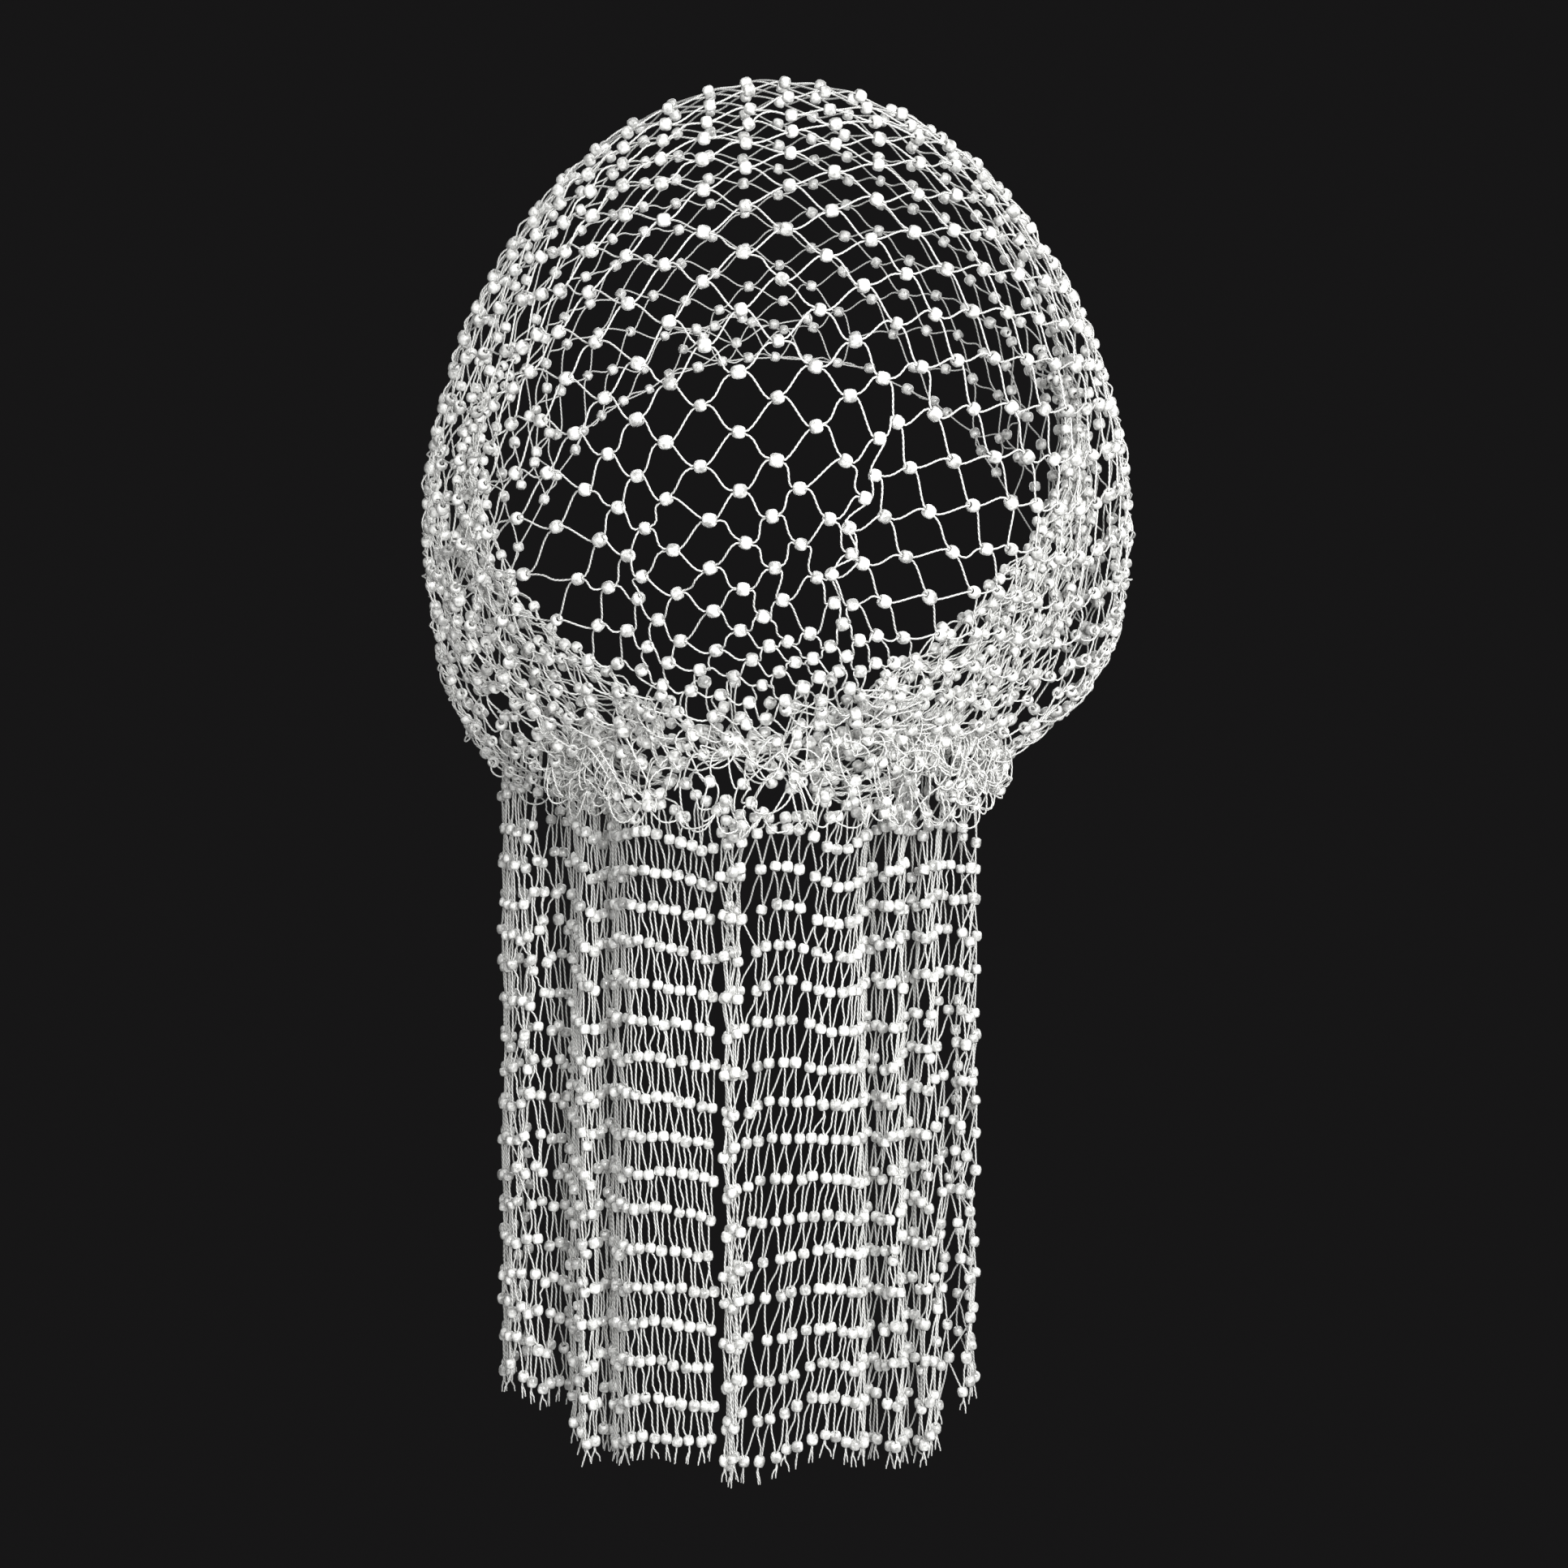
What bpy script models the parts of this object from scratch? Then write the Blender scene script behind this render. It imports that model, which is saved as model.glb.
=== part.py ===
"""Beaded mesh headscarf in the form it has when worn: a net crown, tied at the nape, and two tails.

Metres, +Z up. The front edge faces +Y and the knot -Y, the right tail is at +X, and the origin is
the inside top of the crown. The net is made coarse here: a few large meshes stand for many small ones.
"""

from collections import namedtuple
from math import atan2, cos, hypot, pi, radians, sin, sqrt

import bmesh
import bpy
from mathutils import Vector

MM = 0.001

# Net
WALL = 2.0 * MM  # thickness of the net with its beads, taken as a sheet
HALF_STRAND = 2.1 * MM  # how far a mesh stays from the middle of each strand round it
KNOT_REACH = 4.6 * MM  # how far a mesh's corner stays from the knot that it meets
SMALLEST_MESH = 6.0 * MM  # a mesh narrower than this, corner to corner, is drawn shut

# Crown: its outside at each depth under its top
Level = namedtuple("Level", "depth half_width back front")
CROWN = [
    Level(0.0, 0.0, 0.0, 0.0),
    Level(3.0, 19.5, 23.5, 23.0),
    Level(8.0, 32.0, 38.0, 37.0),
    Level(20.0, 49.0, 58.0, 56.5),
    Level(32.0, 60.5, 71.0, 69.0),
    Level(44.0, 68.5, 80.5, 77.5),
    Level(60.0, 77.0, 89.0, 86.0),
    Level(74.0, 81.8, 93.2, 90.0),
    Level(88.0, 85.4, 95.0, 91.5),
    Level(102.0, 87.2, 94.5, 91.5),
    Level(117.0, 87.3, 90.5, 90.0),
    Level(130.0, 85.4, 84.0, 87.0),
    Level(142.0, 82.0, 74.0, 82.5),
    Level(152.0, 76.5, 63.0, 76.0),
    Level(160.0, 70.0, 53.0, 69.0),
    Level(168.0, 60.5, 43.0, 59.0),
    Level(176.0, 47.0, 32.0, 46.0),
]
CROWN_PARTS = 18  # half meshes from one side to the other
CROWN_ROWS = 14  # half meshes from the front edge to the nape
SIDE_REACH = 0.955  # share of each row's way down to the lower corners
FAN_AXIS = (-8.0 * MM, -174.0 * MM)  # y and z of the line through both lower corners
CORNER_OUT = 52.0 * MM  # how far each lower corner is from the middle
HEART_SHARE = 0.42  # where a row's rays start, as a share of the way from that line to the crown
BROW = (79.0 * MM, -46.0 * MM)  # y and z of the front edge at the middle
NAPE = (-50.5 * MM, -159.0 * MM)  # y and z of the lower back edge at the middle

# Gathers: the middle line of the bundle on each side, from its front end to the knot
Bundle = namedtuple("Bundle", "out back height width thick")
GATHER = [
    Bundle(57.0, -36.0, -51.0, 8.0, 4.5),
    Bundle(68.8, -14.0, -68.0, 9.0, 5.0),
    Bundle(72.5, -2.0, -90.0, 11.0, 6.0),
    Bundle(68.0, 8.0, -113.0, 15.0, 7.5),
    Bundle(58.5, 18.0, -134.0, 20.0, 9.0),
    Bundle(45.0, 26.0, -149.0, 23.0, 10.0),
    Bundle(32.0, 32.0, -158.5, 24.0, 11.0),
    Bundle(22.0, 36.5, -163.5, 23.0, 12.0),
    Bundle(14.6, 39.0, -164.5, 14.0, 8.5),
]
GATHER_SECTIONS = 18
GATHER_SIDES = 18
GATHER_HEART = 25.0 * MM  # how far above the bundle's start its outer side turns away from
FURROW = 1.1 * MM  # how deep the furrows of the bundle are
FURROWS = 6
SQUARENESS = 0.25  # how far the bundle's section goes from an ellipse to a box

# Knot
KNOT_AT = (-5.5 * MM, -39.0 * MM, -164.5 * MM)
KNOT_RADII = (13.0 * MM, 9.5 * MM, 12.0 * MM)
KNOT_LOBES = 8
KNOT_LOBE = 0.08  # height of the lobes, as a share of the radius
KNOT_DENT = 0.2  # depth of the dent where the strands go in, as a share of the thickness
KNOT_RINGS = 10
KNOT_SPOKES = 28

# Tails: the pleats of each hanging end in plan, how low each hangs, and where its top is
Pleat = namedtuple("Pleat", "x y foot top_y top")
LEFT_TAIL = [
    Pleat(-12.5, -17.0, -335.0, -38.5, -175.9),
    Pleat(-22.0, -21.0, -334.0, -38.0, -175.2),
    Pleat(-33.0, -21.0, -333.0, -33.5, -173.9),
    Pleat(-39.0, -10.0, -336.0, -20.0, -174.5),
    Pleat(-42.0, 0.0, -337.0, -8.0, -172.5),
    Pleat(-47.0, -12.0, -338.0, -15.0, -171.0),
    Pleat(-51.0, -1.0, -332.0, -5.0, -170.6),
    Pleat(-54.0, 9.0, -328.0, 4.0, -170.6),
    Pleat(-60.0, -1.0, -326.0, -4.0, -170.6),
    Pleat(-67.5, 4.0, -326.0, 2.0, -170.6),
    Pleat(-70.5, 16.0, -326.0, 14.0, -170.6),
    Pleat(-66.0, 29.0, -326.0, 26.0, -170.6),
]
RIGHT_TAIL = [
    Pleat(-10.0, -21.0, -340.0, -39.0, -176.4),
    Pleat(-5.0, -15.0, -341.0, -37.0, -177.6),
    Pleat(0.5, -19.0, -338.0, -38.0, -176.4),
    Pleat(11.0, -22.0, -333.0, -38.0, -175.2),
    Pleat(20.0, -15.0, -336.0, -34.0, -174.9),
    Pleat(22.5, -3.0, -337.0, -24.0, -174.6),
    Pleat(28.5, -15.0, -338.0, -29.0, -174.0),
    Pleat(32.5, -1.0, -338.0, -10.0, -174.5),
    Pleat(37.5, -11.0, -337.0, -15.0, -173.0),
    Pleat(42.0, 3.0, -330.0, -2.0, -171.0),
    Pleat(46.5, -5.0, -328.0, -7.0, -170.6),
    Pleat(50.5, 9.0, -327.0, 6.0, -170.6),
    Pleat(47.0, 23.0, -327.0, 20.0, -170.6),
]
TAIL_LEVELS = 10
TAIL_STEPS = 3  # parts of the sheet between two pleats
TAIL_FALLS_FREE = 0.2  # share of the length over which a pleat leaves its top and hangs straight
TAIL_GAPS = {"left_tail": (1, 2), "right_tail": (3, 4)}  # from which pleat to which it is open
TAIL_GAP_LEVELS = (2, 4, 6, 8)
TAIL_GAP_SIDE = 0.24  # how far a gap stays from the sheet's columns and levels, as shares of one
TAIL_GAP_END = 0.06
TAIL_WALL = 1.8 * MM


def clear_scene():
    for thing in list(bpy.data.objects):
        bpy.data.objects.remove(thing)


def thread_material(name, colour, roughness):
    """White thread and clear beads, seen as one light surface."""
    material = bpy.data.materials.new(name)
    material.use_nodes = True
    shader = material.node_tree.nodes["Principled BSDF"]
    shader.inputs["Base Color"].default_value = (*colour, 1.0)
    shader.inputs["Roughness"].default_value = roughness
    shader.inputs["Metallic"].default_value = 0.0
    return material


def add_node(name, mesh_data, material):
    """Makes one closed, outward-facing object out of points and faces."""
    points, faces = mesh_data
    mesh = bpy.data.meshes.new(name)
    work = bmesh.new()
    corners = [work.verts.new(point) for point in points]
    for face in faces:
        work.faces.new([corners[i] for i in face])
    loose = [corner for corner in work.verts if not corner.link_faces]
    bmesh.ops.delete(work, geom=loose, context="VERTS")
    bmesh.ops.recalc_face_normals(work, faces=work.faces[:])
    if work.calc_volume(signed=True) < 0:
        bmesh.ops.reverse_faces(work, faces=work.faces[:])
    work.to_mesh(mesh)
    work.free()
    mesh.shade_smooth()
    mesh.set_sharp_from_angle(angle=radians(50))
    mesh.materials.append(material)
    thing = bpy.data.objects.new(name, mesh)
    bpy.context.scene.collection.objects.link(thing)
    return thing


def smooth_between(rows, column, at):
    """Reads a table's column at a place between its rows, on a smooth curve through them."""
    last = len(rows) - 1
    first = min(max(int(at), 0), last - 1)
    share = at - first
    around = [getattr(rows[min(max(i, 0), last)], column) for i in range(first - 1, first + 3)]
    before, start, end, after = around
    slope = 0.5 * (end - before)
    next_slope = 0.5 * (after - start)
    square = share * share
    cube = square * share
    return (
        start * (2 * cube - 3 * square + 1)
        + slope * (cube - 2 * square + share)
        + end * (3 * square - 2 * cube)
        + next_slope * (cube - square)
    )


def crown_size(depth):
    """Half width, back and front reach at a depth. Near the top all grow as the root of the depth."""
    depth = min(max(depth / MM, 0.0), CROWN[-1].depth)
    row = max(i for i, level in enumerate(CROWN[:-1]) if level.depth <= depth)
    above, below = CROWN[row], CROWN[row + 1]
    share = (sqrt(depth) - sqrt(above.depth)) / (sqrt(below.depth) - sqrt(above.depth))
    columns = ("half_width", "back", "front")
    return [smooth_between(CROWN, column, row + share) * MM for column in columns]


def outside_crown(point, inward):
    """More than 0 where a point lies outside the crown's skin, moved in by a distance."""
    x, y, z = point
    depth = WALL - inward - z
    if depth <= 0:
        return 1.0
    half_width, back, front = crown_size(depth)
    reach = back if y < 0 else front
    return hypot(x / max(half_width - inward, MM), y / max(reach - inward, MM)) - 1.0


def skin_on_ray(start, way, inward):
    """Where a ray from inside the crown meets its skin."""
    near, far = 0.0, 0.3
    for _ in range(34):
        middle = 0.5 * (near + far)
        if outside_crown(start + way * middle, inward) > 0:
            far = middle
        else:
            near = middle
    return start + way * near


def crown_point(part, tilt, inward=0.0):
    """The crown's skin in the fan's plane at this tilt: part runs from -1 to 1, side to side."""
    y0, z0 = FAN_AXIS
    axis = Vector((0.0, y0, z0))
    up = Vector((0.0, cos(tilt), sin(tilt)))
    reach = (skin_on_ray(axis, up, 0.0) - axis).length
    heart = HEART_SHARE * reach
    turn = part * (pi / 2 + atan2(heart, CORNER_OUT))
    way = Vector((sin(turn), 0.0, 0.0)) + up * cos(turn)
    return skin_on_ray(axis + up * heart, way, inward)


def crown_tilts():
    """The tilt of each row's plane, at equal steps along the middle of the crown."""
    y0, z0 = FAN_AXIS
    first = atan2(BROW[1] - z0, BROW[0] - y0)
    last = atan2(NAPE[1] - z0, NAPE[0] - y0)
    fine = 400
    tilts = [first + (last - first) * i / fine for i in range(fine + 1)]
    points = [crown_point(0.0, tilt) for tilt in tilts]
    run = [0.0]
    for a, b in zip(points, points[1:]):
        run.append(run[-1] + (b - a).length)

    def tilt_at(row):
        goal = run[-1] * row / CROWN_ROWS
        i = min(max(j for j, value in enumerate(run) if value <= goal), fine - 1)
        share = (goal - run[i]) / (run[i + 1] - run[i])
        return tilts[i] + (tilts[i + 1] - tilts[i]) * share

    return tilt_at


def pierced_net(skin, parts, rows, wall):
    """A net of four-cornered meshes. skin(i, j, wall) gives its outside or inside at half meshes."""
    points, faces, known = [], [], {}

    def corner(i, j, side):
        key = (round(i, 5), round(j, 5), side)
        if key not in known:
            known[key] = len(points)
            points.append(skin(i, j, side * wall))
        return known[key]

    edges = {}

    def add_ring(ring, other):
        """One band of faces between two rings of corners, on both skins."""
        for side in (0, 1):
            for k, a in enumerate(ring):
                b = ring[(k + 1) % len(ring)]
                c, d = other[(k + 1) % len(ring)], other[k]
                quad = [corner(*p, side) for p in (a, b, c, d)]
                faces.append(quad if side == 0 else quad[::-1])

    for j in range(1, rows):
        for i in range(1, parts):
            if (i + j) % 2 == 0:
                continue
            knots = [(i + 1, j), (i, j + 1), (i - 1, j), (i, j - 1)]
            ring = []
            for k, here in enumerate(knots):
                after = knots[(k + 1) % 4]
                ring += [here, ((here[0] + after[0]) / 2, (here[1] + after[1]) / 2)]
            middle = skin(i, j, 0.0)
            reach = [(skin(*p, 0.0) - middle).length for p in ring]
            for a, b in zip(ring, ring[1:] + ring[:1]):
                key = (a, b)
                edges[key] = edges.get(key, 0) + 1
            if min(reach[0] + reach[4], reach[2] + reach[6]) < SMALLEST_MESH + 2 * KNOT_REACH:
                for side in (0, 1):
                    face = [corner(*p, side) for p in ring]
                    faces.append(face if side == 0 else face[::-1])
                continue
            hole = []
            for k, p in enumerate(ring):
                inset = (KNOT_REACH if k % 2 == 0 else HALF_STRAND) / reach[k]
                hole.append((i + (p[0] - i) * (1 - inset), j + (p[1] - j) * (1 - inset)))
            add_ring(ring, hole)
            for a, b in zip(hole, hole[1:] + hole[:1]):
                faces.append([corner(*a, 0), corner(*b, 0), corner(*b, 1), corner(*a, 1)])

    for a, b in edges:
        if (b, a) not in edges:
            faces.append([corner(*a, 0), corner(*a, 1), corner(*b, 1), corner(*b, 0)])
    return points, faces


def crown_net():
    tilt_at = crown_tilts()

    def skin(i, j, inward):
        part = SIDE_REACH * (2 * i / CROWN_PARTS - 1)
        return crown_point(part, tilt_at(j), inward)

    return pierced_net(skin, CROWN_PARTS, CROWN_ROWS, WALL)


def swept_bundle(side, knot_x):
    """A furrowed bundle along the table's middle line. side is -1 on the left and 1 on the right."""
    last = len(GATHER) - 1

    def middle(at):
        out = smooth_between(GATHER, "out", at) * MM
        back = smooth_between(GATHER, "back", at) * MM
        height = smooth_between(GATHER, "height", at) * MM
        drift = knot_x * (at / last) ** 1.5
        return Vector((side * out + drift, -back, height))

    points, faces = [], []
    for s in range(GATHER_SECTIONS):
        at = last * s / (GATHER_SECTIONS - 1)
        here = middle(at)
        along = (middle(min(at + 0.05, last)) - middle(max(at - 0.05, 0.0))).normalized()
        heart = Vector((0.0, 0.0, here.z + GATHER_HEART * (1 - at / last)))
        outward = here - heart
        outward = (outward - along * outward.dot(along)).normalized()
        across = along.cross(outward)
        half_width = smooth_between(GATHER, "width", at) * MM / 2
        half_thick = smooth_between(GATHER, "thick", at) * MM / 2
        for k in range(GATHER_SIDES):
            turn = 2 * pi * k / GATHER_SIDES
            ridge = 1 + FURROW / half_thick * 0.5 * cos(FURROWS * turn) * max(sin(turn), 0.0)
            lean = cos(turn)
            wide = half_width * lean * max(abs(lean), 1e-6) ** -SQUARENESS
            thick = half_thick * sin(turn) * ridge
            points.append(here + across * wide + outward * thick)
    for s in range(GATHER_SECTIONS - 1):
        for k in range(GATHER_SIDES):
            a = s * GATHER_SIDES + k
            b = s * GATHER_SIDES + (k + 1) % GATHER_SIDES
            faces.append([a, b, b + GATHER_SIDES, a + GATHER_SIDES])
    first_cap = list(range(GATHER_SIDES))
    faces.append(first_cap[::-1])
    faces.append([k + (GATHER_SECTIONS - 1) * GATHER_SIDES for k in first_cap])
    return points, faces


def nape_knot():
    """A flat ball with lobes round its middle, where the strands turn in from all sides."""
    centre = Vector(KNOT_AT)
    points = [centre - Vector((0, KNOT_RADII[1] * (1 - KNOT_DENT), 0))]
    for ring in range(1, KNOT_RINGS):
        tip = pi * ring / KNOT_RINGS
        for spoke in range(KNOT_SPOKES):
            turn = 2 * pi * spoke / KNOT_SPOKES
            lobe = 1 + KNOT_LOBE * cos(KNOT_LOBES * turn) * sin(tip) ** 2
            dent = 1 - KNOT_DENT * cos(tip) ** 8
            points.append(
                centre
                + Vector(
                    (
                        KNOT_RADII[0] * sin(tip) * cos(turn) * lobe,
                        -KNOT_RADII[1] * cos(tip) * dent,
                        KNOT_RADII[2] * sin(tip) * sin(turn) * lobe,
                    )
                )
            )
    points.append(centre + Vector((0, KNOT_RADII[1] * (1 - KNOT_DENT), 0)))
    faces = []
    end = len(points) - 1
    for spoke in range(KNOT_SPOKES):
        after = (spoke + 1) % KNOT_SPOKES
        faces.append([0, 1 + after, 1 + spoke])
        for ring in range(KNOT_RINGS - 2):
            a = 1 + ring * KNOT_SPOKES
            faces.append([a + spoke, a + after, a + KNOT_SPOKES + after, a + KNOT_SPOKES + spoke])
        a = 1 + (KNOT_RINGS - 2) * KNOT_SPOKES
        faces.append([a + spoke, a + after, end])
    return points, faces


def tail_sheet(pleats, column, level):
    """The middle of a hanging sheet. Its pleats leave their tops and then fall straight."""
    at = column / TAIL_STEPS
    fall = level / TAIL_LEVELS
    freed = min(fall / TAIL_FALLS_FREE, 1.0)
    freed = freed * freed * (3 - 2 * freed)
    foot, top, y, top_y, x = (
        smooth_between(pleats, column_name, at) * MM for column_name in ("foot", "top", "y", "top_y", "x")
    )
    return Vector((x, top_y + (y - top_y) * freed, top + (foot - top) * fall))


def pleated_tail(name, pleats):
    """A hanging end of the net, as a wavy wall with a few long gaps where it hangs open."""
    columns = (len(pleats) - 1) * TAIL_STEPS

    def place(column, level, side):
        a = tail_sheet(pleats, max(column - 0.5, 0), level)
        b = tail_sheet(pleats, min(column + 0.5, columns), level)
        outward = Vector((b.y - a.y, a.x - b.x, 0.0)).normalized()
        return tail_sheet(pleats, column, level) + outward * (side - 0.5) * TAIL_WALL

    points, faces, known = [], [], {}

    def corner(p, side):
        key = (*p, side)
        if key not in known:
            known[key] = len(points)
            points.append(place(*p, side))
        return known[key]

    def add_skins(ring):
        faces.append([corner(p, 0) for p in ring])
        faces.append([corner(p, 1) for p in ring[::-1]])

    def add_wall(a, b):
        faces.append([corner(a, 0), corner(a, 1), corner(b, 1), corner(b, 0)])

    first_open, last_open = TAIL_GAPS[name]
    for level in range(TAIL_LEVELS):
        for column in range(columns):
            ring = [(column, level), (column + 1, level), (column + 1, level + 1), (column, level + 1)]
            is_open = first_open <= column / TAIL_STEPS < last_open and level in TAIL_GAP_LEVELS
            if not is_open:
                add_skins(ring)
                continue
            hole = []
            for c, l in ring:
                in_from_side = TAIL_GAP_SIDE if c == column else -TAIL_GAP_SIDE
                in_from_end = TAIL_GAP_END if l == level else -TAIL_GAP_END
                hole.append((c + in_from_side, l + in_from_end))
            for k in range(4):
                n = (k + 1) % 4
                add_skins([ring[k], ring[n], hole[n], hole[k]])
                add_wall(hole[n], hole[k])
    for column in range(columns):
        add_wall((column, 0), (column + 1, 0))
        add_wall((column + 1, TAIL_LEVELS), (column, TAIL_LEVELS))
    for level in range(TAIL_LEVELS):
        add_wall((0, level + 1), (0, level))
        add_wall((columns, level), (columns, level + 1))
    return points, faces


def build():
    clear_scene()
    net = thread_material("net_thread", (0.86, 0.86, 0.83), 0.42)
    bundle = thread_material("gathered_net", (0.82, 0.82, 0.79), 0.48)
    tail = thread_material("tail_net", (0.84, 0.84, 0.81), 0.45)
    add_node("crown_net", crown_net(), net)
    add_node("left_gather", swept_bundle(-1, KNOT_AT[0]), bundle)
    add_node("right_gather", swept_bundle(1, KNOT_AT[0]), bundle)
    add_node("nape_knot", nape_knot(), bundle)
    add_node("left_tail", pleated_tail("left_tail", LEFT_TAIL), tail)
    add_node("right_tail", pleated_tail("right_tail", RIGHT_TAIL), tail)


build()
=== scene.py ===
"""Beaded mesh headscarf: seed beads on twisted thread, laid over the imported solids.

Sizes are in millimetres up to the meshes, which are in metres. A lattice place is (column, row):
beads sit where both are even or both odd, and each is tied to the four at one column and one row
from it. Columns run along the scarf's length, from its left end to its right one.
"""

from collections import namedtuple

import bpy
import numpy as np
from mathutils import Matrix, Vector


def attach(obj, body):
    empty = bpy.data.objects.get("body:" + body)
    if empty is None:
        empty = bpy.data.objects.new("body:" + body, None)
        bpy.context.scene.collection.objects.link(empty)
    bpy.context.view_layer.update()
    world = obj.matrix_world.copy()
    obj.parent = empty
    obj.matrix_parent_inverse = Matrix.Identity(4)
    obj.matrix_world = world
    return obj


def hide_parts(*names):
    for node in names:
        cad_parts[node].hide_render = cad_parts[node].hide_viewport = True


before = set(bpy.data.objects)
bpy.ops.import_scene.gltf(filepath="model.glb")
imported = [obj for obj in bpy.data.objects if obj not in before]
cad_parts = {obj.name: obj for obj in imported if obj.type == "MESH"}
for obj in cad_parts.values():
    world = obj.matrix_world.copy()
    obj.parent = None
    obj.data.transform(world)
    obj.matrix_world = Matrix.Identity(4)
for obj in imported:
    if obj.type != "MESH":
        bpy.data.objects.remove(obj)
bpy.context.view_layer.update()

MM = 0.001

# Camera: its focal length in pixels of the 1932 frame, and its place
PICTURE = 1932
FOCAL_PX = 2480.0
CAMERA_AT = np.array([1.6, -505.0, -170.0])
SIGHT = np.linspace(380, 640, 2601)  # distances at which a line of sight is tried

# Beads and threads
BEAD_RADIUS = 1.42
BEAD_HALF = 1.3
BEAD_SIDES = 12
HOLE_RADIUS = 0.5
# Half a bead's outline, from the middle of the hole to the middle of the outside
BEAD_PROFILE = [(0.8, HOLE_RADIUS), (BEAD_HALF, 0.76), (1.02, 1.21), (0.42, BEAD_RADIUS)]
THREAD_LEAVES = BEAD_HALF - 0.3  # where a thread comes out, along the bead from its middle
THREAD_RADIUS = 0.22
THREAD_SIDES = 5
THREAD_FREE = 8.9  # length of a thread from bead to bead
TWIST_PITCH = 2.3
# A mesh laid flat, along the scarf and across it, as the sheets' flat sizes count it. It is smaller
# than the marked meshes, about 15.4 by 12.0: it is fitted so that the cloth check's shares pass.
ROW_PITCH = 9.95  # from row to row where the net hangs straight

# Crown: its outside at each depth under its top
Level = namedtuple("Level", "depth half_width back front")
CROWN = [
    Level(0.0, 0.0, 0.0, 0.0), Level(3.0, 19.5, 23.5, 23.0), Level(8.0, 32.0, 38.0, 37.0),
    Level(20.0, 49.0, 58.0, 56.5), Level(32.0, 60.5, 71.0, 69.0), Level(44.0, 68.5, 80.5, 77.5),
    Level(60.0, 77.0, 89.0, 86.0), Level(74.0, 81.8, 93.2, 90.0), Level(88.0, 85.4, 95.0, 91.5),
    Level(102.0, 87.2, 94.5, 91.5), Level(117.0, 87.3, 90.5, 90.0), Level(130.0, 85.4, 84.0, 87.0),
    Level(142.0, 84.0, 74.0, 82.5), Level(152.0, 80.5, 63.0, 76.0), Level(160.0, 76.5, 53.0, 69.0),
    Level(168.0, 70.0, 43.0, 59.0), Level(176.0, 59.0, 32.0, 46.0),
]
WALL = 2.0
HEART = np.array([0.0, 0.0, -88.0])
FAN_AXIS = (-8.0, -174.0)  # y and z of the line through the crown's lower corners
NAPE = (-50.5, -159.0)  # y and z of the lower back edge at the middle
# How much narrower the right pocket hangs: a share of the width, from a depth on, over a way down
Taper = namedtuple("Taper", "share start way")
RIGHT_TAPERS = [Taper(0.05, 134.0, 10.0), Taper(0.15, 148.0, 16.0)]
AHEAD_TAPER = 0.11  # how much narrower both sides are low down toward the front

# Beads of the crown whose places the photograph shows, in its pixels
Mark = namedtuple("Mark", "column row x y")
MARKS = [Mark(*place) for place in (
    (0, 0, 967, 102), (0, 4, 975, 143), (0, 8, 973, 188), (0, 12, 969, 283), (0, 16, 958, 421),
    (0, 20, 958, 569), (0, 24, 955, 700), (0, 28, 950, 797), (2, 2, 1067, 135), (2, 10, 1080, 246),
    (2, 14, 1064, 352), (2, 18, 1048, 487), (1, 21, 983, 602), (2, 22, 1021, 640), (1, 25, 962, 740),
    (2, 26, 997, 787),
    # right, with its crease
    (4, 4, 1170, 180), (4, 8, 1177, 241), (4, 12, 1166, 332), (4, 16, 1136, 452), (4, 18, 1103, 523),
    (3, 19, 1086, 540), (4, 20, 1078, 588), (3, 21, 1066, 612), (4, 22, 1049, 652),
    (3, 23, 1048, 683), (4, 24, 1026, 708), (3, 25, 1028, 742), (6, 12, 1240, 385),
    (6, 16, 1199, 504), (6, 20, 1144, 630), (6, 24, 1087, 742), (5, 27, 1060, 790),
    (7, 25, 1110, 788), (7, 9, 1288, 347), (8, 10, 1310, 402), (8, 14, 1286, 504), (8, 18, 1247, 620),
    (8, 22, 1203, 730), (10, 14, 1325, 568), (9, 19, 1245, 676),
    # left, with its creases
    (-2, 2, 876, 132), (-2, 6, 868, 170), (-2, 10, 867, 234), (-2, 14, 866, 346), (-2, 18, 862, 499),
    (-2, 22, 875, 641), (-2, 26, 881, 753), (-1, 29, 928, 813), (-3, 27, 837, 791),
    (-3, 21, 819, 615), (-4, 8, 767, 228), (-4, 12, 772, 315), (-4, 16, 788, 450), (-4, 20, 785, 588),
    (-5, 21, 763, 626), (-4, 24, 789, 711), (-5, 23, 775, 686), (-5, 25, 787, 736),
    (-6, 12, 688, 358), (-6, 16, 698, 466), (-6, 20, 722, 603), (-6, 24, 750, 724),
    (-7, 15, 652, 458), (-7, 19, 675, 581), (-7, 23, 718, 713), (-7, 25, 739, 771),
    (-8, 16, 632, 518), (-8, 20, 640, 634), (-8, 24, 690, 764), (-9, 15, 608, 550),
    (-10, 12, 592, 507), (-9, 19, 604, 655), (-9, 23, 615, 766), (-10, 16, 562, 617),
    (-10, 20, 556, 730), (-11, 13, 540, 576),
)]
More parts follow.
